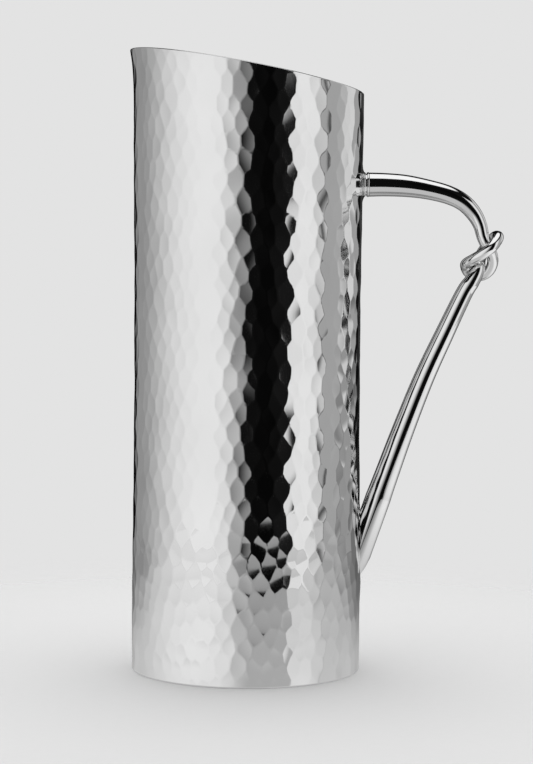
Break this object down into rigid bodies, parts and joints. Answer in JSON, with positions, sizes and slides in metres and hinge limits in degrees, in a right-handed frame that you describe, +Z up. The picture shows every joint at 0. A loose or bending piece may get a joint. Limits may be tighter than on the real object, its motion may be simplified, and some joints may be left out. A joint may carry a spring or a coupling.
{
  "type": "water pitcher",
  "caption": "Tall straight water pitcher of hammered polished steel with a slanted rim, a small pouring lip and a bent rod handle tied in an overhand knot.",
  "frame": {"origin": "centre of the base's underside, on the surface that the pitcher stands on", "axes": "+Z up along the body's axis, +X towards the handle with the spout at -X, +Y away from a viewer who sees the handle on the right"},
  "size_m": [0.1748, 0.1078, 0.2893],
  "materials": {
    "hammered_steel": "hand-hammered dimples, mirror polished",
    "polished_steel": "smooth mirror polish",
    "satin_steel": "turned satin",
    "weld_metal": "dressed and polished weld"
  },
  "bodies": {
    "root": {"body_wall": "hammered_steel", "base_disc": "satin_steel", "base_weld": "weld_metal", "upper_boss": "polished_steel", "upper_weld": "weld_metal", "handle_rod": "polished_steel", "lower_weld": "weld_metal"}
  },
  "joints": []
}
